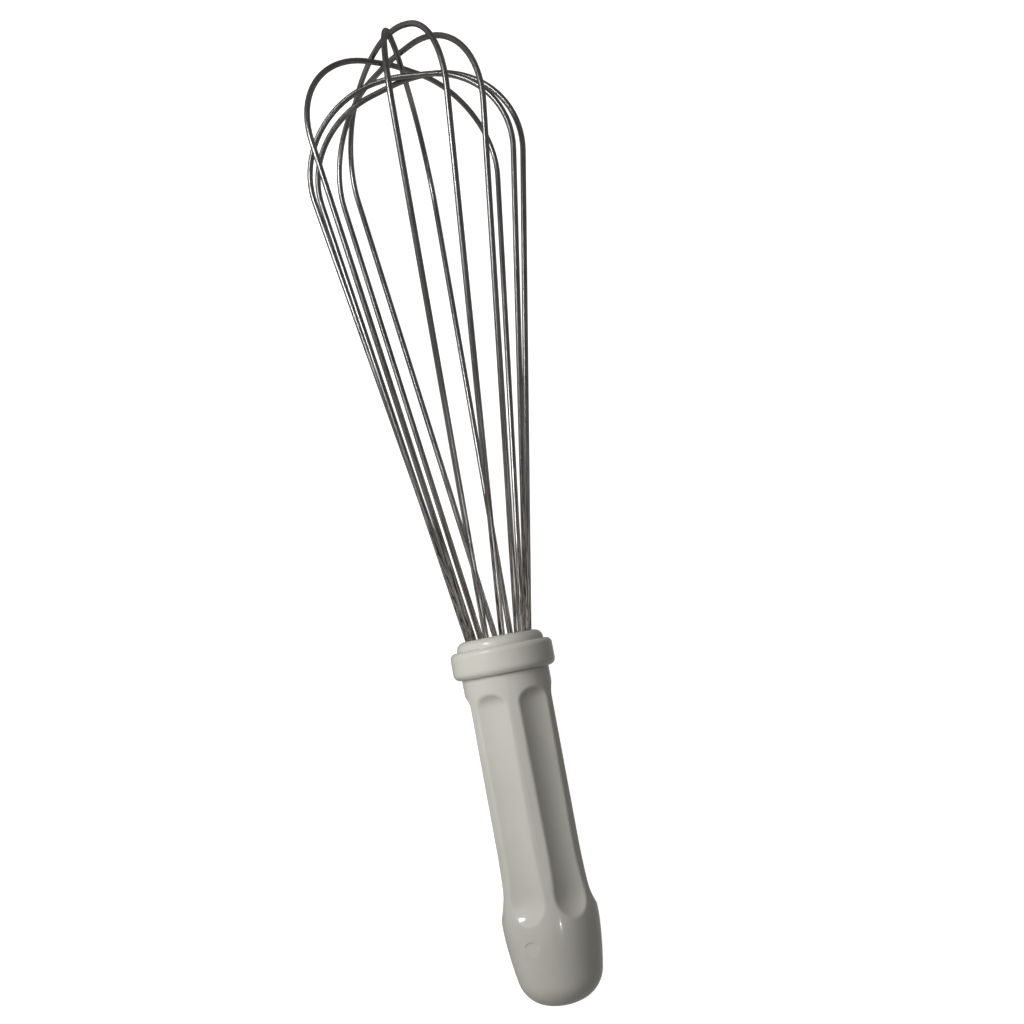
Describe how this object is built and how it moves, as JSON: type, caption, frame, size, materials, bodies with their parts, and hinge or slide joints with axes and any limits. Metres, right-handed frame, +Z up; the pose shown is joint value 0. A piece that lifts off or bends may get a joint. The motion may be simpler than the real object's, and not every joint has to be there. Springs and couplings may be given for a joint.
{
  "type": "balloon whisk",
  "caption": "Balloon whisk lying at rest: crossed bows of polished wire sealed in a fluted plastic handle with a collar band and a swollen end.",
  "frame": {"origin": "centre of the bounding box on the table that the whisk lies on", "axes": "+X along the whisk from the handle towards the balloon, +Z up from the table; the whisk's own axis slopes up by 4.25 degrees towards the balloon in the XZ plane"},
  "size_m": [0.3924, 0.0913, 0.097],
  "materials": {
    "handle_plastic": "smooth glossy warm grey-white moulding",
    "band_plastic": "smooth glossy warm grey-white moulding",
    "plug_plastic": "smooth glossy warm grey-white moulding",
    "wire_steel": "polished stainless spring wire",
    "plate_steel": "stamped stainless sheet",
    "resin": "cast resin",
    "dam_plastic": "plain disc"
  },
  "bodies": {
    "root": {"handle_shell": "handle_plastic", "collar_band": "band_plastic", "wire_plug": "plug_plastic", "anchor_plate": "plate_steel", "resin_core": "resin", "resin_dam": "dam_plastic", "wire_loop_1": "wire_steel", "wire_loop_2": "wire_steel", "wire_loop_3": "wire_steel", "wire_loop_4": "wire_steel", "wire_loop_5": "wire_steel", "wire_loop_6": "wire_steel"}
  },
  "joints": []
}
